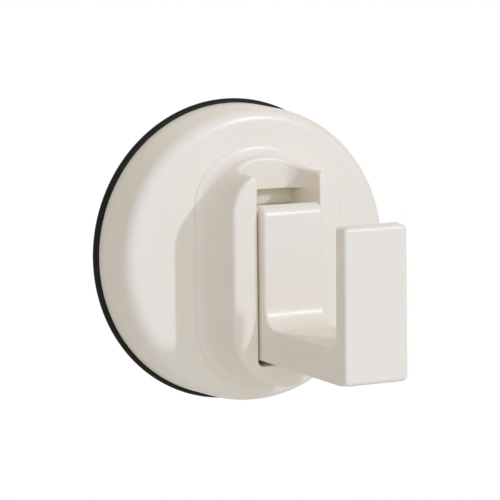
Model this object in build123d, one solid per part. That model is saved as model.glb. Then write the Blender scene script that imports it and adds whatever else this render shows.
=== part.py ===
from build123d import *
from math import atan2, cos, degrees, pi, sin, sqrt
import os

# Suction hook with a locking lever. A round cover stands on a rubber cup, a slotted frame is
# snapped into the cover, and a J-shaped hook swings in the slot. The hook's hub is a cam: locked,
# it holds the stem and the centre of the cup away from the wall.
# The origin is the centre of the cup's rear face, which lies on the wall. -Y points away from the
# wall, +Z up and +X right. A depth is a distance in front of the wall, so it is -y. The hook is
# modelled locked, with its arm level.

# Suction cup
CUP_RADIUS = 39.25
CUP_RIM_THICKNESS = 2.2
CUP_RIM_ROUND = 1.0
CUP_SEAL_WIDTH = 5.0
CUP_DISH_RADIUS = 15.0
CUP_WEB = 2.4
CUP_HUB_RADIUS = 14.0
CUP_HUB_HEIGHT = 4.6
CUP_HUB_ROUND = 0.8
CUP_SKIN = 2.8

# Round cover
COVER_SETBACK = 1.05
COVER_DRAFT = 0.05
COVER_FACE_DEPTH = 17.0
COVER_EDGE_ROUND = 3.9
COVER_WALL = 2.4
RIB_COUNT = 12
RIB_THICKNESS = 1.6
RIB_HEIGHT = 4.5
RIB_INNER_RADIUS = 22.0

# Hook frame: the upright housing on the cover, with the slot that the hook swings in
FRAME_BEHIND_HOOK = 2.6
FRAME_HALF_WIDTH = 15.8
FRAME_SHOULDER_X = 4.0
FRAME_SHOULDER_Z = 12.8
FRAME_CROWN_STEP = 6.4
FRAME_FOOT_Z = -16.0
FRAME_DRAFT = 0.3
FRAME_FLARE = 2.2
FRAME_FLARE_ROUND = 2.1
FRAME_LIP = 0.25
FRAME_EDGE_ROUND = 1.3
FRAME_WALL = 2.2
SLOT_FLOOR_STEP = 0.5
SLOT_TOP = 17.5
SLOT_BOTTOM = -25.9
SLOT_CORNER = 1.6
SLOT_EDGE_BREAK = 0.3
THUMB_NOTCH_DEPTH = 8.4
THUMB_SIDE_ROUND = 2.5
TUB_WALL = 1.8
TUB_FLOOR = 2.6
TUB_DEPTH = 5.0
TUB_CORNER = 1.8
SNAP_BEAD = 0.6
SNAP_LENGTH = 12.0
PAD_HEIGHT = 1.0
PAD_BOTTOM = -7.0
PAD_TOP = 10.6

# Cam, wear plate, stem and pin
PIVOT_Z = 7.0
PIN_RADIUS = 1.5
PIN_RECESS = 0.3
PIN_CHAMFER = 0.3
CAM_RADIUS = 7.25
CAM_STROKE = 2.5
CAM_GAP = 0.2
WEAR_PLATE = 1.0
WEAR_PLATE_CORNER = 1.0
LUG_RADIUS = 3.5
STEM_THICKNESS = 5.0
STEM_BOTTOM = -3.5
STEM_SHOULDER = 7.2
FOOT_RADIUS = 12.0
FOOT_THICKNESS = 2.0
SLEEVE_WALL = 1.8
SLEEVE_TO_CUP = 1.0

# Hook
HOOK_WIDTH = 17.0
HOOK_TOP = 14.75
HOOK_BOTTOM = -24.35
HOOK_BOTTOM_AT_LIP = -24.75
HOOK_FACE_TO_PIVOT = 7.6
HOOK_PLATE = 3.5
HOOK_REACH = 76.3
ARM_TOP_AT_ROOT = -15.95
ARM_TOP_AT_LIP = -16.3
LIP_TOP = 13.6
LIP_THICKNESS = 4.8
THROAT_ROUND = 5.0
LIP_ROOT_ROUND = 1.8
HOOK_TOP_ROUND = 3.3
LIP_EDGE_ROUND = 1.2
LIP_CORNER_ROUND = 1.1
HOOK_SIDE_ROUND = 0.7
WEB_THICKNESS = 2.2
HEEL_TOP = -17.5
HEEL_BOTTOM = -22.0
HEEL_ROUND = 1.0
HEEL_LENGTH = 6.2

# Fits
SLIDE_CLEARANCE = 0.3
SWING_CLEARANCE = 0.5
SNAP_CLEARANCE = 0.15
MOULDED_CLEARANCE = 0.08
PIN_RUNNING = 0.05
PIN_SEAT = 0.02
REST_GAP = 0.3

# Worked out from the sizes above
seal_inner_radius = CUP_RADIUS - CUP_SEAL_WIDTH
dish_depth = CAM_STROKE
web_front_depth = dish_depth + CUP_WEB
cup_front_depth = web_front_depth + CUP_HUB_HEIGHT
foot_rear_depth = dish_depth + CUP_SKIN
foot_front_depth = foot_rear_depth + FOOT_THICKNESS
cover_rear_radius = CUP_RADIUS - COVER_SETBACK
cover_front_radius = cover_rear_radius - COVER_DRAFT
cover_inner_depth = COVER_FACE_DEPTH - COVER_WALL
slot_floor_depth = COVER_FACE_DEPTH + SLOT_FLOOR_STEP
pad_depth = slot_floor_depth + PAD_HEIGHT
plate_front_depth = pad_depth + WEAR_PLATE
cam_offset = CAM_STROKE / 2
cam_depth = plate_front_depth + CAM_GAP + CAM_RADIUS
cam_z = PIVOT_Z - cam_offset
pivot_depth = cam_depth + cam_offset
hook_half = HOOK_WIDTH / 2
hook_face_depth = pivot_depth + HOOK_FACE_TO_PIVOT
plate_rear_depth = hook_face_depth - HOOK_PLATE
lip_inner_depth = HOOK_REACH - LIP_THICKNESS
heel_depth = slot_floor_depth + REST_GAP
web_rear_depth = heel_depth + HEEL_LENGTH
shoulder_radius = FRAME_HALF_WIDTH - FRAME_SHOULDER_X
crown_radius = shoulder_radius + FRAME_CROWN_STEP
frame_front_depth = hook_face_depth - FRAME_BEHIND_HOOK
frame_wall_front = frame_front_depth - FRAME_WALL
thumb_floor_depth = frame_front_depth - THUMB_NOTCH_DEPTH
slot_half = hook_half + SWING_CLEARANCE
tub_half = slot_half + TUB_WALL
tub_top = SLOT_TOP + TUB_WALL
tub_bottom = SLOT_BOTTOM - TUB_WALL
tub_floor_rear = slot_floor_depth - TUB_FLOOR
tub_rear_depth = slot_floor_depth - TUB_DEPTH
sleeve_rear_depth = cup_front_depth + SLEEVE_TO_CUP
stem_half = STEM_THICKNESS / 2
stem_top = PIVOT_Z + LUG_RADIUS
stem_shoulder_depth = pivot_depth - STEM_SHOULDER
stem_hole_half = stem_half + SLIDE_CLEARANCE
stem_hole_top = stem_top + SLIDE_CLEARANCE
stem_hole_bottom = STEM_BOTTOM - SLIDE_CLEARANCE


def block(half_width, bottom, top, rear, front, corner=0.0):
    """Upright block between two depths, centred on X, with rounded corners in front view."""
    outline = Rectangle(2 * half_width, top - bottom)
    if corner > 0:
        outline = fillet(outline.vertices(), corner)
    plane = Plane.XZ.offset(rear)
    return extrude(plane * Pos(0, (top + bottom) / 2) * outline, front - rear)


def side_face(*points):
    """Side-view face from (depth, z) points, ready to be extruded along X."""
    return make_face(Polyline(*[(-depth, z) for depth, z in points], close=True))


def rounded(face, depth, z, radius):
    """A side-view face with the corner at (depth, z) rounded."""
    corner = face.vertices().sort_by_distance(Vector(-depth, z, 0))[0]
    return fillet(corner, radius)


def side_prism(face, half_width):
    """Prism of a side-view face, centred on X."""
    return extrude(Plane.YZ * face, half_width, both=True)


def cross_cylinder(radius, depth, z, half_length):
    """Cylinder along X, centred on X."""
    return Pos(0, -depth, z) * Rot(0, 90, 0) * Cylinder(radius, 2 * half_length)


def turned(*points):
    """Solid turned about the Y axis from (radius, depth) points."""
    return revolve(make_face(Polyline(*[(r, -d) for r, d in points], close=True)), Axis.Y)


def edges_at(solid, depth, radius=None):
    """The edges that lie at a depth, and only the round ones of a radius if one is given."""
    found = []
    for edge in solid.edges():
        box = edge.bounding_box()
        flat = abs(box.min.Y + depth) < 0.01 and abs(box.max.Y + depth) < 0.01
        if flat and (radius is None or abs(box.max.X - radius) < 0.01):
            found.append(edge)
    return ShapeList(found)


def suction_cup():
    """Rubber cup: a flat sealing rim, a thin web dished away from the wall, and a hub for the stem."""
    section = (
        (0, dish_depth),
        (CUP_DISH_RADIUS, dish_depth),
        (seal_inner_radius, 0),
        (CUP_RADIUS, 0),
        (CUP_RADIUS, CUP_RIM_THICKNESS),
        (seal_inner_radius, CUP_RIM_THICKNESS),
        (CUP_DISH_RADIUS, web_front_depth),
        (CUP_HUB_RADIUS, web_front_depth),
        (CUP_HUB_RADIUS, cup_front_depth),
        (0, cup_front_depth),
    )
    cup = turned(*section)
    cup = fillet(edges_at(cup, 0, CUP_RADIUS), CUP_RIM_ROUND)
    cup = fillet(edges_at(cup, CUP_RIM_THICKNESS, CUP_RADIUS), CUP_RIM_ROUND)
    cup = fillet(edges_at(cup, cup_front_depth), CUP_HUB_ROUND)
    pocket_rear = foot_rear_depth - MOULDED_CLEARANCE
    pocket_front = foot_front_depth + MOULDED_CLEARANCE
    pocket_radius = FOOT_RADIUS + MOULDED_CLEARANCE
    cup -= turned(
        (0, pocket_rear),
        (pocket_radius, pocket_rear),
        (pocket_radius, pocket_front),
        (0, pocket_front),
    )
    neck_half = stem_half + MOULDED_CLEARANCE
    neck_bottom = STEM_BOTTOM - MOULDED_CLEARANCE
    neck_top = stem_top + MOULDED_CLEARANCE
    return cup - block(neck_half, neck_bottom, neck_top, foot_rear_depth, cup_front_depth + 1)


def cover():
    """Round cover: a drawn cup of even wall, ribbed behind its face, with the frame's opening."""
    shell = turned(
        (0, CUP_RIM_THICKNESS),
        (cover_rear_radius, CUP_RIM_THICKNESS),
        (cover_front_radius, COVER_FACE_DEPTH),
        (0, COVER_FACE_DEPTH),
    )
    shell = fillet(edges_at(shell, COVER_FACE_DEPTH, cover_front_radius), COVER_EDGE_ROUND)
    inside = turned(
        (0, 0),
        (cover_rear_radius - COVER_WALL, 0),
        (cover_front_radius - COVER_WALL, cover_inner_depth),
        (0, cover_inner_depth),
    )
    inner_edge = edges_at(inside, cover_inner_depth, cover_front_radius - COVER_WALL)
    inside = fillet(inner_edge, COVER_EDGE_ROUND - COVER_WALL)
    reach = cover_front_radius - COVER_WALL / 2
    rib = Pos((RIB_INNER_RADIUS + reach) / 2, 0) * Rectangle(reach - RIB_INNER_RADIUS, RIB_THICKNESS)
    rib_solid = extrude(Plane.XZ.offset(cover_inner_depth - RIB_HEIGHT) * rib, RIB_HEIGHT + COVER_WALL / 2)
    ribs = [Rot(0, 360 * (i + 0.5) / RIB_COUNT, 0) * rib_solid for i in range(RIB_COUNT)]
    body = shell - inside + ribs
    half = tub_half + SNAP_CLEARANCE
    low = tub_bottom - SNAP_CLEARANCE
    high = tub_top + SNAP_CLEARANCE
    return body - block(half, low, high, 0, COVER_FACE_DEPTH + 1, TUB_CORNER + SNAP_CLEARANCE)


def frame_outline(grow):
    """Front view of the frame: a three-centred arch on straight sides, and a half-round foot."""
    half = FRAME_HALF_WIDTH + grow
    shoulder = shoulder_radius + grow
    crown = crown_radius + grow
    crown_z = FRAME_SHOULDER_Z - sqrt(FRAME_CROWN_STEP**2 - FRAME_SHOULDER_X**2)
    join_angle = atan2(FRAME_SHOULDER_Z - crown_z, FRAME_SHOULDER_X)
    join = Vector(crown * cos(join_angle), crown_z + crown * sin(join_angle))
    middle_angle = join_angle / 2
    middle_x = FRAME_SHOULDER_X + shoulder * cos(middle_angle)
    middle = Vector(middle_x, FRAME_SHOULDER_Z + shoulder * sin(middle_angle))
    right = Line((half, FRAME_FOOT_Z), (half, FRAME_SHOULDER_Z))
    right_shoulder = ThreePointArc((half, FRAME_SHOULDER_Z), middle, join)
    crown_arc = ThreePointArc(join, (0, crown_z + crown), (-join.X, join.Y))
    left_shoulder = ThreePointArc((-join.X, join.Y), (-middle.X, middle.Y), (-half, FRAME_SHOULDER_Z))
    left = Line((-half, FRAME_SHOULDER_Z), (-half, FRAME_FOOT_Z))
    foot = ThreePointArc((-half, FRAME_FOOT_Z), (0, FRAME_FOOT_Z - half), (half, FRAME_FOOT_Z))
    return make_face([right, right_shoulder, crown_arc, left_shoulder, left, foot])


def frame_part(grow, rear, front, taper=0.0):
    """Prism of the frame's outline between two depths."""
    return extrude(Plane.XZ.offset(rear) * frame_outline(grow), front - rear, taper=taper)


def hook_frame():
    """Frame: a flared and drafted housing with cored cheeks, a slot, a thumb notch and a snap-in tub."""
    height = frame_front_depth - COVER_FACE_DEPTH
    draft_angle = degrees(atan2(FRAME_DRAFT, height))
    outer = frame_part(FRAME_DRAFT, COVER_FACE_DEPTH, frame_front_depth, draft_angle)
    outer = fillet(edges_at(outer, frame_front_depth), FRAME_EDGE_ROUND)
    flange = frame_part(FRAME_DRAFT + FRAME_FLARE, COVER_FACE_DEPTH, COVER_FACE_DEPTH + FRAME_LIP)
    outer += flange
    halfway = frame_part(FRAME_DRAFT + FRAME_FLARE / 2, 0, frame_front_depth)
    foot_edges = edges_at(outer, COVER_FACE_DEPTH + FRAME_LIP)
    foot_line = [edge for edge in foot_edges if halfway.is_inside(edge @ 0.5)]
    outer = fillet(foot_line, FRAME_FLARE_ROUND)
    core = frame_part(-FRAME_WALL, 0, frame_wall_front)
    core -= block(tub_half, tub_bottom, tub_top, 0, frame_front_depth)
    thumb_rear = thumb_floor_depth - FRAME_WALL
    core -= block(tub_half, 0, SLOT_TOP + crown_radius, thumb_rear, frame_front_depth)
    body = outer - core
    body += block(tub_half, tub_bottom, tub_top, tub_rear_depth, COVER_FACE_DEPTH, TUB_CORNER)
    body -= block(tub_half - TUB_WALL, tub_bottom + TUB_WALL, tub_top - TUB_WALL, 0, tub_floor_rear)
    bead_height = SNAP_BEAD + SNAP_CLEARANCE
    for z, out in ((tub_top, 1), (tub_bottom, -1)):
        bead = side_face(
            (cover_inner_depth - SNAP_CLEARANCE, z),
            (cover_inner_depth - SNAP_CLEARANCE, z + out * bead_height),
            (tub_rear_depth, z),
        )
        body += side_prism(bead, SNAP_LENGTH / 2)
    sleeve_half = stem_hole_half + SLEEVE_WALL
    sleeve_low = stem_hole_bottom - SLEEVE_WALL
    body += block(sleeve_half, sleeve_low, stem_hole_top + SLEEVE_WALL, sleeve_rear_depth, tub_floor_rear)
    body -= block(slot_half, SLOT_BOTTOM, SLOT_TOP, slot_floor_depth, frame_front_depth + 1, SLOT_CORNER)
    notch_low = SLOT_TOP - 2 * SLOT_CORNER
    notch_high = SLOT_TOP + crown_radius
    notch = block(slot_half, notch_low, notch_high, thumb_floor_depth, frame_front_depth + 1)
    body -= fillet(notch.edges().filter_by(Axis.Z).sort_by(Axis.Y)[-2:], THUMB_SIDE_ROUND)
    mouth = Pos(0, (notch_high + SLOT_BOTTOM) / 2) * Rectangle(2 * slot_half, notch_high - SLOT_BOTTOM)
    mouth = fillet(mouth.vertices(), SLOT_CORNER)
    mouth_plane = Plane.XZ.offset(frame_front_depth - SLOT_EDGE_BREAK)
    body -= extrude(mouth_plane * mouth, 2 * SLOT_EDGE_BREAK, taper=-45)
    body += block(hook_half, PAD_BOTTOM, PAD_TOP, slot_floor_depth, pad_depth)
    return body - block(stem_hole_half, stem_hole_bottom, stem_hole_top, 0, frame_front_depth)


def wear_plate():
    """Steel plate on the slot's floor, forked so that it slips over the stem."""
    plate = block(hook_half, PAD_BOTTOM, PAD_TOP, pad_depth, plate_front_depth, WEAR_PLATE_CORNER)
    return plate - block(stem_hole_half, stem_hole_bottom, PAD_TOP + 1, 0, frame_front_depth)


def stem():
    """Stem: a round foot in the cup's hub, a flat blade through the frame, and an eye for the pin."""
    reach = sqrt((pivot_depth - stem_shoulder_depth) ** 2 + (PIVOT_Z - STEM_BOTTOM) ** 2)
    slope = atan2(PIVOT_Z - STEM_BOTTOM, pivot_depth - stem_shoulder_depth)
    touch = slope - atan2(sqrt(reach**2 - LUG_RADIUS**2), LUG_RADIUS) + pi / 2
    nose_depth = pivot_depth + LUG_RADIUS * sin(touch)
    nose_z = PIVOT_Z - LUG_RADIUS * cos(touch)
    blade = side_face(
        (foot_rear_depth, stem_top),
        (pivot_depth, stem_top),
        (pivot_depth, PIVOT_Z),
        (nose_depth, nose_z),
        (stem_shoulder_depth, STEM_BOTTOM),
        (foot_rear_depth, STEM_BOTTOM),
    )
    body = side_prism(blade, stem_half)
    body += cross_cylinder(LUG_RADIUS, pivot_depth, PIVOT_Z, stem_half)
    body += turned(
        (0, foot_rear_depth),
        (FOOT_RADIUS, foot_rear_depth),
        (FOOT_RADIUS, foot_front_depth),
        (0, foot_front_depth),
    )
    return body - cross_cylinder(PIN_RADIUS + PIN_SEAT, pivot_depth, PIVOT_Z, stem_half + 1)


def pivot_pin():
    """Steel pin in the stem's eye, which the hook's hub turns on."""
    pin = cross_cylinder(PIN_RADIUS, pivot_depth, PIVOT_Z, hook_half - PIN_RECESS)
    return chamfer(pin.edges().filter_by(GeomType.CIRCLE), PIN_CHAMFER)


def hook():
    """Hook: front plate, arm and lip in one bend, with a forked cam hub and two webs behind."""
    outline = side_face(
        (plate_rear_depth, HOOK_TOP),
        (hook_face_depth, HOOK_TOP),
        (hook_face_depth, ARM_TOP_AT_ROOT),
        (lip_inner_depth, ARM_TOP_AT_LIP),
        (lip_inner_depth, LIP_TOP),
        (HOOK_REACH, LIP_TOP),
        (HOOK_REACH, HOOK_BOTTOM_AT_LIP),
        (plate_rear_depth, HOOK_BOTTOM),
    )
    outline = rounded(outline, hook_face_depth, HOOK_TOP, HOOK_TOP_ROUND)
    outline = rounded(outline, hook_face_depth, ARM_TOP_AT_ROOT, THROAT_ROUND)
    outline = rounded(outline, lip_inner_depth, ARM_TOP_AT_LIP, LIP_ROOT_ROUND)
    outline = rounded(outline, lip_inner_depth, LIP_TOP, LIP_EDGE_ROUND)
    outline = rounded(outline, HOOK_REACH, LIP_TOP, LIP_CORNER_ROUND)
    outline = rounded(outline, HOOK_REACH, HOOK_BOTTOM_AT_LIP, LIP_CORNER_ROUND)
    bend = side_prism(outline, hook_half)
    side_edges = []
    for edge in bend.edges():
        box = edge.bounding_box()
        on_side = box.size.X < 0.01
        behind = abs(box.max.Y + plate_rear_depth) < 0.01 and box.size.Y < 0.01
        if on_side and not behind:
            side_edges.append(edge)
    bend = fillet(side_edges, HOOK_SIDE_ROUND)
    hub = cross_cylinder(CAM_RADIUS, cam_depth, cam_z, hook_half)
    neck = side_face(
        (cam_depth, cam_z + CAM_RADIUS),
        (plate_rear_depth, cam_z + CAM_RADIUS),
        (plate_rear_depth, cam_z - CAM_RADIUS),
        (cam_depth, cam_z - CAM_RADIUS),
    )
    hub += side_prism(neck, hook_half)
    web = side_face(
        (plate_rear_depth, cam_z),
        (web_rear_depth, cam_z),
        (web_rear_depth, HEEL_TOP),
        (heel_depth, HEEL_TOP),
        (heel_depth, HEEL_BOTTOM),
        (web_rear_depth, HOOK_BOTTOM),
        (plate_rear_depth, HOOK_BOTTOM),
    )
    web = rounded(web, heel_depth, HEEL_BOTTOM, HEEL_ROUND)
    web = rounded(web, heel_depth, HEEL_TOP, HEEL_ROUND)
    webs = side_prism(web, hook_half)
    well_half = hook_half - WEB_THICKNESS
    webs -= block(well_half, HOOK_BOTTOM + WEB_THICKNESS, cam_z, 0, plate_rear_depth)
    body = bend + (hub + webs)
    body -= block(stem_hole_half, cam_z - CAM_RADIUS - 1, HOOK_TOP + 1, 0, plate_rear_depth)
    return body - cross_cylinder(PIN_RADIUS + PIN_RUNNING, pivot_depth, PIVOT_Z, hook_half + 1)


PIECES = {
    "suction_cup": suction_cup,
    "cover": cover,
    "hook_frame": hook_frame,
    "wear_plate": wear_plate,
    "stem": stem,
    "pivot_pin": pivot_pin,
    "hook": hook,
}

os.makedirs("parts", exist_ok=True)
for name, make in PIECES.items():
    export_step(make(), f"parts/{name}.step")
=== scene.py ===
from math import cos, radians, sin

import bmesh
import bpy
import numpy as np
from mathutils import Matrix, Vector


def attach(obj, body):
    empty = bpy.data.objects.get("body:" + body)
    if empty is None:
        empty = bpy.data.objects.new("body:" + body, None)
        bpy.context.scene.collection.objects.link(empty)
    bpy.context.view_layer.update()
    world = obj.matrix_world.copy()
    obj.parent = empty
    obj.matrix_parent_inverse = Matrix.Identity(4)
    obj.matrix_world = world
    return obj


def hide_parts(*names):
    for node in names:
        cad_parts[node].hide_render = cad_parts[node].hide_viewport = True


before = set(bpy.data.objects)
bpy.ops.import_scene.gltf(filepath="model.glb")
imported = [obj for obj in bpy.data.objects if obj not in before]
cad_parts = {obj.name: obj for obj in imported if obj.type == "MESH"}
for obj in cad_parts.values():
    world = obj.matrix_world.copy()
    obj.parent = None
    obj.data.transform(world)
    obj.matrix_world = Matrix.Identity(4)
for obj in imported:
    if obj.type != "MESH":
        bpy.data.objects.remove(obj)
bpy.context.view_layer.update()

# Suction cup
# One moulding of black rubber: a flat rim that seals on the wall, a thin web that is dished away
# from it, and a thick hub that the stem's foot is moulded into. It carries everything else.

CUP_RADIUS = 39.25
CUP_RIM = 2.2
CUP_SEAL_INNER = 34.25
CUP_DISH = 2.5
CUP_DISH_RADIUS = 15.0
CUP_WEB_FRONT = 4.9
CUP_HUB_RADIUS = 14.0
CUP_HUB_FRONT = 9.5


def corner_path(corners, steps=8, closed=True):
    """A path through corners (a, b, radius): each corner gives way to the arc that touches both of
    its sides. The arc's centre lies on the corner's bisector, radius / sin(half the angle) away,
    and its points turn evenly from one touching point to the other. Radius 0 keeps the corner.
    Gives the points, and at each of them the direction away from the arc's centre."""
    flat = np.array([c[:2] for c in corners], float)
    points, away = [], []
    for i, (_, _, radius) in enumerate(corners):
        here = flat[i]
        at_end = not closed and i in (0, len(corners) - 1)
        if at_end or radius == 0:
            points.append(here[None])
            away.append(np.zeros((1, 2)))
            continue
        to_last = flat[i - 1] - here
        to_next = flat[(i + 1) % len(corners)] - here
        to_last = to_last / np.linalg.norm(to_last)
        to_next = to_next / np.linalg.norm(to_next)
        half = np.arccos(np.clip(to_last @ to_next, -1, 1)) / 2
        middle = to_last + to_next
        centre = here + middle / np.linalg.norm(middle) * radius / np.sin(half)
        start = here + to_last * radius / np.tan(half) - centre
        end = here + to_next * radius / np.tan(half) - centre
        turn = np.arctan2(start[0] * end[1] - start[1] * end[0], start @ end)
        angle = np.linspace(0, turn, steps + 1)[:, None]
        arm = np.cos(angle) * start + np.sin(angle) * np.array([-start[1], start[0]])
        points.append(centre + arm)
        away.append(arm / radius * np.sign(turn))
    return np.concatenate(points), np.concatenate(away)


def grid_faces(rows, columns, wrap=False):
    """Quads of a grid of points numbered row by row. Wrap joins the last column to the first."""
    row, column = np.meshgrid(np.arange(rows - 1), np.arange(columns - (not wrap)), indexing="ij")
    right = (column + 1) % columns
    a = row * columns + column
    b = row * columns + right
    quads = np.stack([a, b, b + columns, a + columns], axis=-1)
    return quads.reshape(-1, 4).tolist()


MERGE_WITHIN = 2e-6
SHARP_ANGLE = radians(35)


def build(name, patches, material, body, replaced):
    """A piece from patches of (points in millimetres as x, depth, z; faces). Points that meet are
    merged, all faces are turned outwards, and the shading follows the larger faces."""
    points, faces = [], []
    for patch_points, patch_faces in patches:
        start = sum(len(p) for p in points)
        points.append(np.asarray(patch_points, float))
        faces += [[start + index for index in face] for face in patch_faces]
    place = np.concatenate(points) * np.array([0.001, -0.001, 0.001])
    mesh = bpy.data.meshes.new(name)
    mesh.from_pydata(place.tolist(), [], faces)
    work = bmesh.new()
    work.from_mesh(mesh)
    bmesh.ops.remove_doubles(work, verts=work.verts, dist=MERGE_WITHIN)
    bmesh.ops.dissolve_degenerate(work, edges=work.edges, dist=MERGE_WITHIN / 2)
    bmesh.ops.recalc_face_normals(work, faces=work.faces)
    work.to_mesh(mesh)
    work.free()
    mesh.shade_smooth()
    mesh.set_sharp_from_angle(angle=SHARP_ANGLE)
    mesh.materials.append(material)
    piece = bpy.data.objects.new(name, mesh)
    bpy.context.scene.collection.objects.link(piece)
    shading = piece.modifiers.new("even_shading", "WEIGHTED_NORMAL")
    shading.weight = 80
    shading.keep_sharp = True
    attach(piece, body)
    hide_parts(replaced)


def turned(path, sides=288):
    """Surface of revolution about the depth axis: each (radius, depth) point of the path goes
    round a circle, x = radius * cos(angle) and z = radius * sin(angle)."""
    path = np.asarray(path)
    angle = np.linspace(0, 2 * np.pi, sides, endpoint=False)
    x = path[:, :1] * np.cos(angle)
    z = path[:, :1] * np.sin(angle)
    depth = np.broadcast_to(path[:, 1:], x.shape)
    points = np.stack([x, depth, z], axis=-1).reshape(-1, 3)
    return points, grid_faces(len(path), sides, wrap=True)


def node_material(name):
    """An empty node material and its principled shader."""
    material = bpy.data.materials.new(name)
    material.use_nodes = True
    return material, material.node_tree.nodes["Principled BSDF"]


def link(material, source, target):
    """Join two sockets of a material."""
    material.node_tree.links.new(source, target)


def noise(material, scale, detail=3.0):
    """Noise in object coordinates: scale is in waves per metre."""
    nodes = material.node_tree.nodes
    place = nodes.new("ShaderNodeTexCoord")
    texture = nodes.new("ShaderNodeTexNoise")
    texture.inputs["Scale"].default_value = scale
    texture.inputs["Detail"].default_value = detail
    link(material, place.outputs["Object"], texture.inputs["Vector"])
    return texture.outputs["Fac"]


def spread(material, value, low, high):
    """A noise, which mostly stays between 0.3 and 0.7, carried onto the range from low to high."""
    node = material.node_tree.nodes.new("ShaderNodeMapRange")
    node.inputs["From Min"].default_value = 0.3
    node.inputs["From Max"].default_value = 0.7
    node.inputs["To Min"].default_value = low
    node.inputs["To Max"].default_value = high
    link(material, value, node.inputs["Value"])
    return node.outputs["Result"]


def blend_colours(material, value, low, high):
    """A colour between low and high, by a value from 0 to 1. High may also be another output."""
    node = material.node_tree.nodes.new("ShaderNodeMix")
    node.data_type = "RGBA"
    low_socket, high_socket = (socket for socket in node.inputs if socket.type == "RGBA")
    low_socket.default_value = (*low, 1)
    if isinstance(high, tuple):
        high_socket.default_value = (*high, 1)
    else:
        link(material, high, high_socket)
    link(material, value, node.inputs["Factor"])
    return next(socket for socket in node.outputs if socket.type == "RGBA")


def relief(material, shader, height, distance, strength):
    """Fine relief on a shader: distance is its height in metres."""
    node = material.node_tree.nodes.new("ShaderNodeBump")
    node.inputs["Distance"].default_value = distance
    node.inputs["Strength"].default_value = strength
    link(material, height, node.inputs["Height"])
    link(material, node.outputs["Normal"], shader.inputs["Normal"])


cup_rubber, shader = node_material("black_rubber")
colour = blend_colours(cup_rubber, noise(cup_rubber, 90), (0.004, 0.004, 0.004), (0.009, 0.009, 0.008))
link(cup_rubber, colour, shader.inputs["Base Color"])
link(cup_rubber, spread(cup_rubber, noise(cup_rubber, 300), 0.5, 0.62), shader.inputs["Roughness"])
shader.inputs["Specular IOR Level"].default_value = 0.25
relief(cup_rubber, shader, noise(cup_rubber, 2600, 4), 0.00001, 0.5)

cup_path = corner_path([
    (0, CUP_DISH, 0),
    (CUP_DISH_RADIUS, CUP_DISH, 12.0),
    (CUP_SEAL_INNER, 0, 12.0),
    (CUP_RADIUS, 0, 1.05),
    (CUP_RADIUS, CUP_RIM, 1.05),
    (CUP_SEAL_INNER, CUP_RIM, 12.0),
    (CUP_DISH_RADIUS, CUP_WEB_FRONT, 0.3),
    (CUP_HUB_RADIUS, CUP_WEB_FRONT, 0.3),
    (CUP_HUB_RADIUS, CUP_HUB_FRONT, 0.8),
    (0, CUP_HUB_FRONT, 0),
], closed=False)[0]
build("cup", [turned(cup_path)], cup_rubber, "housing_body", "suction_cup")

# Stem, pivot pin and wear plate
# The stem is nylon, moulded with the cup's hub round its foot. A ground steel pin goes through its
# eye, and a plate of rolled steel lies on the slot's floor for the hook's cam to slide on.

stem_plastic, shader = node_material("stem_nylon")
colour = blend_colours(stem_plastic, noise(stem_plastic, 120), (0.56, 0.54, 0.50), (0.63, 0.61, 0.57))
link(stem_plastic, colour, shader.inputs["Base Color"])
link(stem_plastic, spread(stem_plastic, noise(stem_plastic, 400), 0.42, 0.55), shader.inputs["Roughness"])
relief(stem_plastic, shader, noise(stem_plastic, 1500), 0.00001, 0.4)

pin_steel, shader = node_material("ground_steel")
shader.inputs["Metallic"].default_value = 1.0
colour = blend_colours(pin_steel, noise(pin_steel, 700), (0.52, 0.52, 0.53), (0.62, 0.62, 0.63))
link(pin_steel, colour, shader.inputs["Base Color"])
link(pin_steel, spread(pin_steel, noise(pin_steel, 2200), 0.2, 0.32), shader.inputs["Roughness"])

plate_steel, shader = node_material("rolled_steel")
shader.inputs["Metallic"].default_value = 1.0
colour = blend_colours(plate_steel, noise(plate_steel, 500), (0.48, 0.48, 0.49), (0.6, 0.6, 0.6))
link(plate_steel, colour, shader.inputs["Base Color"])
link(plate_steel, spread(plate_steel, noise(plate_steel, 1800), 0.28, 0.42), shader.inputs["Roughness"])

for node, material in (("stem", stem_plastic), ("pivot_pin", pin_steel), ("wear_plate", plate_steel)):
    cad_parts[node].material_slots[0].material = material

# Cover
# A round cap moulded in off-white ABS, with slight draft on its side and a soft edge round its
# face. It stands on the cup's rim. The frame is snapped into an opening in its face.

COVER_REAR_RADIUS = 38.2
COVER_FRONT_RADIUS = 37.8
COVER_FACE = 17.3
COVER_EDGE = 3.9
COVER_WALL = 2.4
COVER_OPENING = 12.0
PLASTIC_LIGHT = (0.865, 0.825, 0.745)
PLASTIC_DARK = (0.855, 0.812, 0.730)
# Painted light: recesses within this reach are tinted towards this warm, light colour, standing in for light
# through the walls
PAINTED_GLOW_COLOUR = (0.995, 0.905, 0.75)
PAINTED_GLOW_REACH = 0.013


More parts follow.
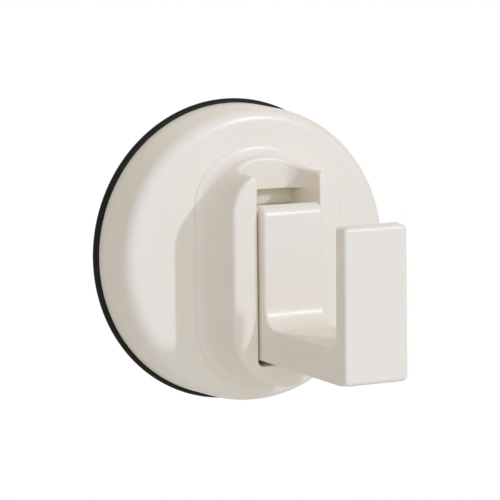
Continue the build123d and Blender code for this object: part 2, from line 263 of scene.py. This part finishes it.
def moulded_plastic(name):
    """Off-white moulded plastic: a faint drift of colour, a satin surface that varies a little,
    and the shallow relief that a polished mould leaves. Painted light: the colour turns warmer and
    lighter in recesses that an ambient-occlusion node finds, standing in for light through the walls."""
    material, shader = node_material(name)
    painted_glow_mask = material.node_tree.nodes.new("ShaderNodeAmbientOcclusion")
    painted_glow_mask.samples = 8
    painted_glow_mask.inputs["Distance"].default_value = PAINTED_GLOW_REACH
    colour = blend_colours(material, noise(material, 55, 2), PLASTIC_DARK, PLASTIC_LIGHT)
    # Painted light: warmer and lighter where the ambient-occlusion node finds a recess
    colour = blend_colours(material, painted_glow_mask.outputs["AO"], PAINTED_GLOW_COLOUR, colour)
    link(material, colour, shader.inputs["Base Color"])
    link(material, spread(material, noise(material, 160), 0.30, 0.36), shader.inputs["Roughness"])
    shader.inputs["Specular IOR Level"].default_value = 0.5
    shader.inputs["Subsurface Weight"].default_value = 0.12
    shader.inputs["Subsurface Radius"].default_value = (1.0, 0.8, 0.6)
    shader.inputs["Subsurface Scale"].default_value = 0.0012
    relief(material, shader, noise(material, 900, 2), 0.000012, 0.2)
    return material


cover_plastic = moulded_plastic("cover_abs")

cover_path = corner_path([
    (COVER_REAR_RADIUS, CUP_RIM, 0.25),
    (COVER_FRONT_RADIUS, COVER_FACE, COVER_EDGE),
    (COVER_OPENING, COVER_FACE, 0.2),
    (COVER_OPENING, COVER_FACE - COVER_WALL, 0.2),
    (COVER_FRONT_RADIUS - COVER_WALL, COVER_FACE - COVER_WALL, 1.5),
    (COVER_REAR_RADIUS - COVER_WALL, CUP_RIM, 0.2),
], steps=14)[0]
cover_path = np.vstack([cover_path, cover_path[:1]])
build("round_cover", [turned(cover_path, 320)], cover_plastic, "housing_body", "cover")

# Hook frame
# A second off-white moulding that stands on the cover: a flared and drafted upright housing, with
# the slot that the hook swings in, a notch above it for the thumb, and a tub behind that snaps in.

FRAME_FRONT = 33.2
FRAME_HALF = 15.8
SHOULDER_RADIUS = 11.8
SHOULDER_Z = 12.8
CROWN_RADIUS = 18.2
FOOT_Z = -16.0
FRAME_DRAFT = 0.3
FRAME_FLARE = 2.3
FRAME_LIP = 0.2
FRAME_EDGE = 1.3
SLOT_HALF = 9.0
SLOT_TOP = 17.5
SLOT_BOTTOM = -25.9
SLOT_CORNER = 1.6
SLOT_FLOOR = 17.5
SLOT_BREAK = 0.3
NOTCH_FLOOR = 21.4
NOTCH_SIDE = 5.0
NOTCH_RIM = 1.0
CHEEK_RIM = 0.9
ARCH_SINK = 0.6
WALL_POINTS = 6
RIM_POINTS = 11
SEAM = 0.06
TUB_WALL = 1.8
TUB_REAR = 12.5
BEDDED = 0.4
BED_FRONT = 18.5
LAND_FRONT = 18.2

shoulder_x = FRAME_HALF - SHOULDER_RADIUS
crown_z = SHOULDER_Z - np.sqrt((CROWN_RADIUS - SHOULDER_RADIUS) ** 2 - shoulder_x**2)
join_angle = np.arctan2(SHOULDER_Z - crown_z, shoulder_x)
flare_top = COVER_FACE + FRAME_LIP + FRAME_FLARE


def lowered(depth):
    """How far the arch lies below its place at the seam: it sinks through the flare's height."""
    return ARCH_SINK * np.clip((depth - COVER_FACE - FRAME_LIP) / FRAME_FLARE, 0, 1)


def at_depth(outline, depth):
    """Points (x, depth, z) of a front view outline."""
    return np.stack([outline[:, 0], np.full(len(outline), float(depth)), outline[:, 1]], 1)


def arch(turn, grow):
    """Points x and z of the arch, grown outwards, where its outward direction is turned up from
    level by these angles: the shoulder's arc up to the join, x = shoulder_x + radius * cos(turn)
    and z = SHOULDER_Z + radius * sin(turn), and the crown's arc about (0, crown_z) beyond it."""
    on_crown = turn > join_angle
    radius = np.where(on_crown, CROWN_RADIUS, SHOULDER_RADIUS) + grow
    x = np.where(on_crown, 0, shoulder_x) + radius * np.cos(turn)
    z = np.where(on_crown, crown_z, SHOULDER_Z) + radius * np.sin(turn)
    return x, z


def frame_side(grow, start, depth):
    """Front outline of the frame at a depth, from a start angle on the right of the arch down
    round the foot to the same place on the left, grown outwards: arch, straight side and half the
    round foot, then the same mirrored, as points (x, depth, z)."""
    half = FRAME_HALF + grow
    x, z = arch(np.linspace(start, 0, 33), grow)
    top = np.stack([x, z - lowered(depth)], 1)
    z = np.linspace(top[-1, 1], FOOT_Z, 13)[1:-1]
    side = np.stack([np.full_like(z, half), z], 1)
    turn = np.linspace(0, -np.pi / 2, 41)
    foot = np.stack([half * np.cos(turn), FOOT_Z + half * np.sin(turn)], 1)
    right = np.concatenate([top, side, foot])
    return at_depth(np.concatenate([right, right[-2::-1] * (-1, 1)]), depth)


def quarter(steps):
    """Sine and 1 - cosine of a quarter turn, in even steps."""
    turn = np.linspace(0, np.pi / 2, steps + 1)
    return np.sin(turn), 1 - np.cos(turn)


# Outer wall, as rows of growth and depth: seam, flare, drafted wall and rounded front edge
wide = FRAME_DRAFT + FRAME_FLARE
notch_start = NOTCH_FLOOR - NOTCH_RIM
edge_start = FRAME_FRONT - FRAME_EDGE


def wall_growth(depth):
    """Growth of the drafted wall at a depth."""
    return FRAME_DRAFT * (edge_start - depth) / (edge_start - flare_top)


sine, versine = quarter(14)
flare = np.stack([wide - FRAME_FLARE * sine, COVER_FACE + FRAME_LIP + FRAME_FLARE * versine], 1)
depth = np.linspace(flare_top, notch_start, 4)[1:]
wall_low = np.stack([wall_growth(depth), depth], 1)
seam = np.array([(wide - SEAM, COVER_FACE), (wide, COVER_FACE + SEAM)])
low_rows = np.concatenate([seam, flare, wall_low])

# Notch, as a section across it from its floor's middle to the right: half the floor, the arc up to
# the cheek, the cheek's wall and its rounded front edge. Each station is x, depth, the direction
# into the notch, the radius of the round rim there, and the growth of the outer wall.
floor_half = SLOT_HALF - NOTCH_SIDE
section = [(x, NOTCH_FLOOR, 0.0, 1.0, NOTCH_RIM) for x in np.linspace(0, floor_half, 10)]
for turn in np.linspace(0, np.pi / 2, 9)[1:]:
    rim = NOTCH_RIM + (CHEEK_RIM - NOTCH_RIM) * turn * 2 / np.pi
    across = floor_half + NOTCH_SIDE * np.sin(turn)
    section.append((across, NOTCH_FLOOR + NOTCH_SIDE * (1 - np.cos(turn)), -np.sin(turn), np.cos(turn), rim))
for depth in np.linspace(NOTCH_FLOOR + NOTCH_SIDE, edge_start, 5)[1:]:
    section.append((SLOT_HALF, depth, -1.0, 0.0, CHEEK_RIM))
sine, versine = quarter(10)
for s in sine[1:]:
    section.append((SLOT_HALF, edge_start + FRAME_EDGE * s, -1.0, 0.0, CHEEK_RIM))
section = np.array(section)


def notch_columns(station, grow):
    """One column of the notch's wall, upwards from the slot's top, with its rim rolled over: a ball
    of the rim's radius touches the notch and the arch from within. Its centre lies one radius
    behind the notch's surface and one radius inside the arch, and the rim turns about it from
    the notch's direction to the arch's."""
    x, depth, aside, ahead, rim = station
    centre_x = x - rim * aside
    centre_depth = depth - rim * ahead
    turn = np.arccos(centre_x / (CROWN_RADIUS + grow - rim))
    if turn < join_angle:
        turn = np.arccos((centre_x - shoulder_x) / (SHOULDER_RADIUS + grow - rim))
    centre_z = arch(turn, grow - rim)[1] - lowered(centre_depth)
    wall_z = SLOT_TOP + (centre_z - SLOT_TOP) * np.linspace(0, 1, WALL_POINTS)
    column = [(x, depth, z) for z in wall_z]
    first = np.array([aside, ahead, 0.0])
    last = np.array([np.cos(turn), 0.0, np.sin(turn)])
    whole = np.arccos(first @ last)
    for share in np.linspace(0, 1, RIM_POINTS)[1:]:
        way = (np.sin((1 - share) * whole) * first + np.sin(share * whole) * last) / np.sin(whole)
        column.append(tuple(np.array([centre_x, centre_depth, centre_z]) + rim * way))
    return column, turn


growth = []
for x, depth, aside, ahead, rim in section:
    touch = depth - rim * ahead
    rounding = np.clip((touch - edge_start) / FRAME_EDGE, 0, 1)
    growth.append(wall_growth(min(touch, edge_start)) - FRAME_EDGE * (1 - np.sqrt(1 - rounding**2)))
columns, starts = zip(*[notch_columns(station, grow) for station, grow in zip(section, growth)])
right_half = np.array(columns)
notch = np.concatenate([right_half[:0:-1] * (-1, 1, 1), right_half])
notch = notch.transpose(1, 0, 2)
rise, span = notch.shape[:2]
rim_z = notch[WALL_POINTS - 1, -1, 2]


def break_share(z):
    """Share of the mouth's edge break at a height: none at the notch's rim, all of it 3 mm lower."""
    return np.clip((rim_z - z) / 3, 0, 1)


wall_rows = notch[:WALL_POINTS]
forward = np.clip((wall_rows[..., 1] - edge_start) / FRAME_EDGE, 0, 1)
wall_rows[..., 1] -= SLOT_BREAK * forward * break_share(wall_rows[..., 2])
frame_patches = [(notch.reshape(-1, 3), grid_faces(rise, span))]

# Outer wall below the notch, all the way round, then on both sides of it up to the front
first_wall = int(np.argmax(section[:, 0] >= floor_half - 1e-9))
crown_between = notch[-1, span // 2 - first_wall:span // 2 + first_wall + 1][1:-1]
low_start = starts[first_wall]
between_z = crown_between[:, 2] - crown_z + lowered(notch_start)
loops = []
for grow, depth in low_rows:
    stretch = (CROWN_RADIUS + grow) / (CROWN_RADIUS + low_rows[-1, 0])
    top = np.stack([crown_between[:, 0] * stretch, crown_z - lowered(depth) + between_z * stretch], 1)
    loops.append(np.concatenate([frame_side(grow, low_start, depth), at_depth(top, depth)]))
around = len(loops[0])
frame_patches.append((np.concatenate(loops), grid_faces(len(loops), around, wrap=True)))
frame_patches.append((loops[0], [list(range(around))]))
touches = section[:, 1] - section[:, 4] * section[:, 3]
strips = [frame_side(growth[i], starts[i], touches[i]) for i in range(first_wall, len(section))]
stations = len(strips[0])
frame_patches.append((np.concatenate(strips), grid_faces(len(strips), stations)))

# Front face, from the rounded outer edge to the mouth of the slot. The rim of the cheek lies
# between the outer edge's end and the top of the wall.
outer = strips[-1]
rim_front = notch[WALL_POINTS - 1:, -1]
beside_notch = notch[WALL_POINTS - 1::-1, -1, 2]
upright = np.linspace(SLOT_TOP, FOOT_Z, 40)[1:]
low_wall = np.linspace(FOOT_Z, SLOT_BOTTOM + SLOT_CORNER, 21)[1:]
wall_z = np.concatenate([beside_notch, upright, low_wall])
start_ramp = break_share(wall_z)
corner_turn = np.linspace(0, np.pi / 2, 7)[1:]
bottom_x = np.linspace(SLOT_HALF - SLOT_CORNER, 0, 16)[1:]


def mouth(widen, drop):
    """The slot's outline: the straight wall, the round corner and half the bottom, then mirrored.
    It is widened outwards and dropped below the front face, both from nothing at its start."""
    wall = np.stack([SLOT_HALF + widen * start_ramp, FRAME_FRONT - drop * start_ramp, wall_z], 1)
    reach = SLOT_CORNER + widen
    corner_x = SLOT_HALF - SLOT_CORNER + reach * np.cos(corner_turn)
    corner_z = SLOT_BOTTOM + SLOT_CORNER - reach * np.sin(corner_turn)
    corner = np.stack([corner_x, np.full_like(corner_x, FRAME_FRONT - drop), corner_z], 1)
    level = np.full_like(bottom_x, FRAME_FRONT - drop)
    bottom = np.stack([bottom_x, level, np.full_like(bottom_x, SLOT_BOTTOM - widen)], 1)
    right = np.concatenate([wall, corner, bottom])
    return np.concatenate([right, right[-2::-1] * (-1, 1, 1)])


inner = mouth(SLOT_BREAK, 0)
rim_left = rim_front[1:-1] * (-1, 1, 1)
face_ring = np.concatenate([outer, rim_left[::-1], inner[::-1], rim_front[1:-1]])
frame_patches.append((face_ring, [list(range(len(face_ring)))]))
sine, versine = quarter(5)
break_rows = [mouth(SLOT_BREAK * (1 - s), SLOT_BREAK * v) for s, v in zip(sine, versine)]
frame_patches.append((np.concatenate(break_rows), grid_faces(len(break_rows), len(inner))))

# Slot: its round corners and bottom, its flat side walls, its top wall and its floor
corner_start = len(wall_z) - 1
bottom_front = break_rows[-1][corner_start:len(inner) - corner_start]
bottom_rear = bottom_front * (1, 0, 1) + (0, SLOT_FLOOR, 0)
frame_patches.append((np.concatenate([bottom_front, bottom_rear]), grid_faces(2, len(bottom_front))))
top_line = notch[0]
wall_start = int(np.argmax(top_line[span // 2:, 0] >= SLOT_HALF - 1e-9)) + span // 2
side_rear = np.array([(SLOT_HALF, SLOT_FLOOR, SLOT_TOP)])
wall_front = break_rows[-1][len(beside_notch) - 1:corner_start + 1]
side_wall = np.concatenate([wall_front, bottom_rear[:1], side_rear, top_line[wall_start:-1]])
for hand in (1, -1):
    frame_patches.append((side_wall * (hand, 1, 1), [list(range(len(side_wall)))]))
side_rears = np.concatenate([side_rear, side_rear * (-1, 1, 1)])
top_wall = np.concatenate([top_line[span - 1 - wall_start:wall_start + 1], side_rears])
frame_patches.append((top_wall, [list(range(len(top_wall)))]))
slot_floor = np.concatenate([bottom_rear, side_rears[::-1]])
frame_patches.append((slot_floor, [list(range(len(slot_floor)))]))


def slab(corners, low, high, edge, along_x, steps=10, round_steps=6):
    """A plate with rounded edges: its outline is a corner path, drawn in towards both of its faces
    by edge * (1 - cos(turn)) while it rises by edge * sin(turn). Edge may vary along the outline.
    The plate lies across X if along_x is set, with an outline in depth and z, and otherwise
    across the depth, with an outline in x and z."""
    outline, away = corner_path(corners, steps)
    area = np.sum(outline[:, 0] * np.roll(outline[:, 1], -1) - outline[:, 1] * np.roll(outline[:, 0], -1))
    away = away * np.sign(area)
    edge = edge(outline) if callable(edge) else np.full(len(outline), float(edge))
    sine, versine = quarter(round_steps)
    rows, heights = [], []
    for s, v in zip(sine[::-1], versine[::-1]):
        rows.append(outline - away * (edge * v)[:, None])
        heights.append(low + edge * (1 - s))
    for s, v in zip(sine, versine):
        rows.append(outline - away * (edge * v)[:, None])
        heights.append(high - edge * (1 - s))
    flat = np.concatenate(rows)
    height = np.concatenate(heights)
    columns = (height, flat[:, 0], flat[:, 1]) if along_x else (flat[:, 0], height, flat[:, 1])
    count = len(outline)
    last = len(flat) - count
    faces = grid_faces(len(rows), count, wrap=True)
    faces += [list(range(count)), list(range(last, last + count))]
    return np.stack(columns, 1), faces


def box_corners(half, low, high, radius):
    """Corners of an upright rectangle centred on X."""
    return [(half, low, radius), (half, high, radius), (-half, high, radius), (-half, low, radius)]


# The tub behind the cover's face, the raised bed that the wear plate lies on, and the land above it
# that closes the slot behind the hook's top
tub = box_corners(SLOT_HALF + TUB_WALL, SLOT_BOTTOM - TUB_WALL, SLOT_TOP + TUB_WALL, 1.8)
bed = box_corners(8.5, -7.0, 10.6, 0.6)
land = box_corners(SLOT_HALF + 0.06, 13.3, SLOT_TOP + 0.06, 0.3)
frame_patches.append(slab(tub, TUB_REAR, COVER_FACE + 0.3, 0.25, False))
frame_patches.append(slab(bed, SLOT_FLOOR - BEDDED, BED_FRONT, 0.3, False))
frame_patches.append(slab(land, SLOT_FLOOR - BEDDED, LAND_FRONT, 0.2, False))

frame_plastic = moulded_plastic("frame_abs")
build("slotted_frame", frame_patches, frame_plastic, "housing_body", "hook_frame")

# Hook
# The third off-white moulding: front plate, level arm and upright lip in one bend, with soft edges.
# Behind the plate a forked cam hub turns on the pin, and two webs end in the heel that rests on
# the slot's floor.

HOOK_HALF = 8.5
HOOK_TOP = 14.75
HOOK_BOTTOM = -24.35
LIP_BOTTOM = -24.75
PLATE_REAR = 32.3
PLATE_FRONT = 35.8
PLATE_EDGE = 0.42
LIP_INNER = 71.5
LIP_OUTER = 76.3
LIP_TOP = 13.6
LIP_SPREAD = 0.025
LIP_CORNER = 1.4
LIP_EDGE = 1.3
LIP_HEEL = 73.6
ARM_ROOT = -15.95
ARM_TIP = -16.3
CAM_RADIUS = 7.25
CAM_DEPTH = 26.95
CAM_Z = 5.75
FORK_HALF = 2.8
WEB = 2.2
WEB_REAR = 24.0
HEEL_DEPTH = 17.8
HEEL_TOP = -17.5
HEEL_BOTTOM = -22.0


def soft_edge(outline):
    """Edge radius along the bend: 0.65 on its long edges, 1.0 round the top ends of the lever and
    the lip, and down to 0.4 where the plate meets the webs."""
    depth, z = outline.T
    lever_end = np.clip((z - HOOK_TOP + 3.5) / 2, 0, 1) * (depth < 40)
    lip_top = np.clip((z - LIP_TOP + 3) / 2, 0, 1) * (depth > 60)
    ends = np.maximum(lever_end, lip_top)
    rear = np.clip((depth - PLATE_REAR - 0.5) / 1.2, 0, 1)
    return 0.4 + rear * (0.25 + 0.35 * ends * ends * (3 - 2 * ends))


def widen(points):
    """Half width times 1 + 0.025 * s, where s grows from 0 to 1 along the arm, less 1.4 mm times
    1 - sqrt(1 - t * t), where t grows from 0 to 1 over the last 1.4 mm at the lip's top and foot."""
    depth, z = points[:, 1], points[:, 2]
    top = np.clip((z - LIP_TOP) / LIP_CORNER + 1, 0, 1) * (depth > LIP_HEEL)
    foot = np.clip((LIP_BOTTOM - z) / LIP_CORNER + 1, 0, 1)
    foot *= np.clip((depth - LIP_HEEL) / (LIP_OUTER - LIP_EDGE - LIP_HEEL), 0, 1)
    corner = 1 - np.sqrt(1 - np.maximum(top, foot) ** 2)
    points[:, 0] *= 1 + LIP_SPREAD * np.clip((depth - 40) / 30, 0, 1) - LIP_CORNER / HOOK_HALF * corner


bend = slab([
    (PLATE_REAR, HOOK_TOP, PLATE_EDGE),
    (PLATE_FRONT, HOOK_TOP, 3.0),
    (PLATE_FRONT, ARM_ROOT, 5.5),
    (LIP_INNER, ARM_TIP, 3.6),
    (LIP_INNER, LIP_TOP, 1.2),
    (LIP_OUTER, LIP_TOP, LIP_EDGE),
    (LIP_OUTER, LIP_BOTTOM, LIP_EDGE),
    (LIP_HEEL, LIP_BOTTOM + 0.02, 0),
    (PLATE_REAR, HOOK_BOTTOM, PLATE_EDGE),
], -HOOK_HALF, HOOK_HALF, soft_edge, True, steps=16)
widen(bend[0])
within_plate = PLATE_REAR + 0.4
hub_corners = [
    (within_plate, CAM_Z - CAM_RADIUS, 0.3),
    (CAM_DEPTH - CAM_RADIUS, CAM_Z - CAM_RADIUS, CAM_RADIUS),
    (CAM_DEPTH - CAM_RADIUS, CAM_Z + CAM_RADIUS, CAM_RADIUS),
    (within_plate, CAM_Z + CAM_RADIUS, 0.3),
]
web_corners = [
    (within_plate, CAM_Z - 5, 0.3),
    (WEB_REAR, CAM_Z - 5, 0.3),
    (WEB_REAR, HEEL_TOP, 0.8),
    (HEEL_DEPTH, HEEL_TOP, 1.0),
    (HEEL_DEPTH, HEEL_BOTTOM, 1.0),
    (WEB_REAR, HOOK_BOTTOM + 0.03, 2.0),
    (within_plate, HOOK_BOTTOM + 0.03, 0.3),
]
web_outside = HOOK_HALF - 0.03
crossbar_half = HOOK_HALF - WEB + 0.3
hook_patches = [
    bend,
    slab(hub_corners, FORK_HALF, HOOK_HALF, 0.25, True, steps=36),
    slab(hub_corners, -HOOK_HALF, -FORK_HALF, 0.25, True, steps=36),
    slab(web_corners, HOOK_HALF - WEB, web_outside, 0.25, True),
    slab(web_corners, -web_outside, WEB - HOOK_HALF, 0.25, True),
    slab([
        (within_plate, HOOK_BOTTOM + 0.06, 0.3),
        (WEB_REAR + 2.0, HOOK_BOTTOM + 0.06, 0.3),
        (WEB_REAR + 2.0, HOOK_BOTTOM + WEB, 0.3),
        (within_plate, HOOK_BOTTOM + WEB, 0.3),
    ], -crossbar_half, crossbar_half, 0.1, True),
]
hook_plastic = moulded_plastic("hook_abs")
build("j_hook", hook_patches, hook_plastic, "hook_body", "hook")

# Studio
# A white floor well below the object, one small cool lamp up to the right in front, and a soft
# light from all round that changes slowly with direction and is warmer from the sides.

FLOOR_Z = -0.16
FLOOR_REACH = 3.0
KEY_DIRECTION = (0.427, -0.762, 0.488)
KEY_STRENGTH = 1.022
KEY_COLOUR = (0.794, 0.793, 1.0)
KEY_ANGLE = radians(2.5)

floor_mesh = bpy.data.meshes.new("floor")
corner_signs = ((-1, -1), (1, -1), (1, 1), (-1, 1))
floor_corners = [(x * FLOOR_REACH, y * FLOOR_REACH, FLOOR_Z) for x, y in corner_signs]
floor_mesh.from_pydata(floor_corners, [], [(0, 1, 2, 3)])
floor = bpy.data.objects.new("floor", floor_mesh)
bpy.context.scene.collection.objects.link(floor)
floor_paint, shader = node_material("floor_paint")
shader.inputs["Base Color"].default_value = (0.85, 0.85, 0.84, 1)
shader.inputs["Roughness"].default_value = 0.9
nodes = floor_paint.node_tree.nodes
rays = nodes.new("ShaderNodeLightPath")
white = nodes.new("ShaderNodeEmission")
white.inputs["Color"].default_value = (1, 1, 1, 1)
white.inputs["Strength"].default_value = 1.0
choose = nodes.new("ShaderNodeMixShader")
link(floor_paint, rays.outputs["Is Camera Ray"], choose.inputs["Fac"])
link(floor_paint, shader.outputs["BSDF"], choose.inputs[1])
link(floor_paint, white.outputs["Emission"], choose.inputs[2])
link(floor_paint, choose.outputs["Shader"], nodes["Material Output"].inputs["Surface"])
floor_mesh.materials.append(floor_paint)

key = bpy.data.lights.new("key", "SUN")
key.energy = KEY_STRENGTH
key.color = KEY_COLOUR
key.angle = KEY_ANGLE
key_lamp = bpy.data.objects.new("key", key)
key_lamp.rotation_euler = Vector(KEY_DIRECTION).to_track_quat("Z", "Y").to_euler()
bpy.context.scene.collection.objects.link(key_lamp)

world = bpy.data.worlds.new("studio")
bpy.context.scene.world = world
world.use_nodes = True
tree = world.node_tree
sky = tree.nodes["Background"]
sky.inputs["Strength"].default_value = 1.0
direction = tree.nodes.new("ShaderNodeTexCoord")
split = tree.nodes.new("ShaderNodeSeparateXYZ")
tree.links.new(direction.outputs["Generated"], split.inputs["Vector"])


def arithmetic(operation, first, second):
    """A sum or product in the surroundings' shader. Each term is a colour or another output."""
    node = tree.nodes.new("ShaderNodeVectorMath")
    node.operation = operation
    for place, value in enumerate((first, second)):
        if isinstance(value, tuple):
            node.inputs[place].default_value = value
        else:
            tree.links.new(value, node.inputs[place])
    return node.outputs["Vector"]


# The soft light is the sum of these colours times 1, x, y, z, x * x, y * y, x * y, x * z and y * z,
# where (x, y, z) is the direction that the light comes from
ones = arithmetic("ADD", (1, 1, 1), (0, 0, 0))
sideways, forwards, upwards = (
    arithmetic("MULTIPLY", split.outputs[axis], ones) for axis in ("X", "Y", "Z"))
SOFT_LIGHT = (
    (ones, ones, (0.767, 0.678, 0.594)),
    (sideways, ones, (0.024, 0.028, 0.079)),
    (forwards, ones, (-0.049, -0.138, -0.097)),
    (upwards, ones, (-0.164, -0.096, -0.177)),
    (sideways, sideways, (-0.335, -0.384, -0.292)),
    (forwards, forwards, (0.294, 0.403, 0.601)),
    (sideways, forwards, (0.321, 0.257, 0.456)),
    (sideways, upwards, (0.020, -0.034, -0.215)),
    (forwards, upwards, (0.142, 0.129, -0.109)),
)
total = arithmetic("ADD", (0, 0, 0), (0, 0, 0))
for first, second, colour in SOFT_LIGHT:
    product = arithmetic("MULTIPLY", first, second)
    total = arithmetic("ADD", total, arithmetic("MULTIPLY", product, colour))
tree.links.new(total, sky.inputs["Color"])
backdrop = tree.nodes.new("ShaderNodeBackground")
backdrop.inputs["Color"].default_value = (1, 1, 1, 1)
backdrop.inputs["Strength"].default_value = 1.0
world_rays = tree.nodes.new("ShaderNodeLightPath")
world_choice = tree.nodes.new("ShaderNodeMixShader")
tree.links.new(world_rays.outputs["Is Camera Ray"], world_choice.inputs["Fac"])
tree.links.new(sky.outputs["Background"], world_choice.inputs[1])
tree.links.new(backdrop.outputs["Background"], world_choice.inputs[2])
tree.links.new(world_choice.outputs["Shader"], tree.nodes["World Output"].inputs["Surface"])

# Camera
# It stands to the left of the object, a little above it and far off, as the photograph was taken,
# and is shifted and rolled a little so that the object lies in the picture as it does there.

AZIMUTH = -28.042
ELEVATION = 7.34
ROLL = -0.624
DISTANCE = 0.74873
ASIDE = -0.003636
ABOVE = 0.001653
FOCAL_PIXELS = 2935.73
PICTURE_PIXELS = 500
AIM = Vector((0, -0.020, 0))

turn, rise, roll = radians(AZIMUTH), radians(ELEVATION), radians(ROLL)
back = Vector((sin(turn) * cos(rise), -cos(turn) * cos(rise), sin(rise)))
level_right = Vector((cos(turn), sin(turn), 0))
level_up = back.cross(level_right)
right = cos(roll) * level_right + sin(roll) * level_up
up = cos(roll) * level_up - sin(roll) * level_right
camera = bpy.data.cameras.new("camera")
camera.sensor_width = 36
camera.lens = FOCAL_PIXELS * camera.sensor_width / PICTURE_PIXELS
camera.clip_start = 0.05
viewer = bpy.data.objects.new("camera", camera)
viewer.matrix_world = Matrix.LocRotScale(
    AIM + DISTANCE * back + ASIDE * right + ABOVE * up,
    Matrix((right, up, back)).transposed(),
    None,
)
bpy.context.scene.collection.objects.link(viewer)
bpy.context.scene.camera = viewer
bpy.context.scene.view_settings.view_transform = "Standard"
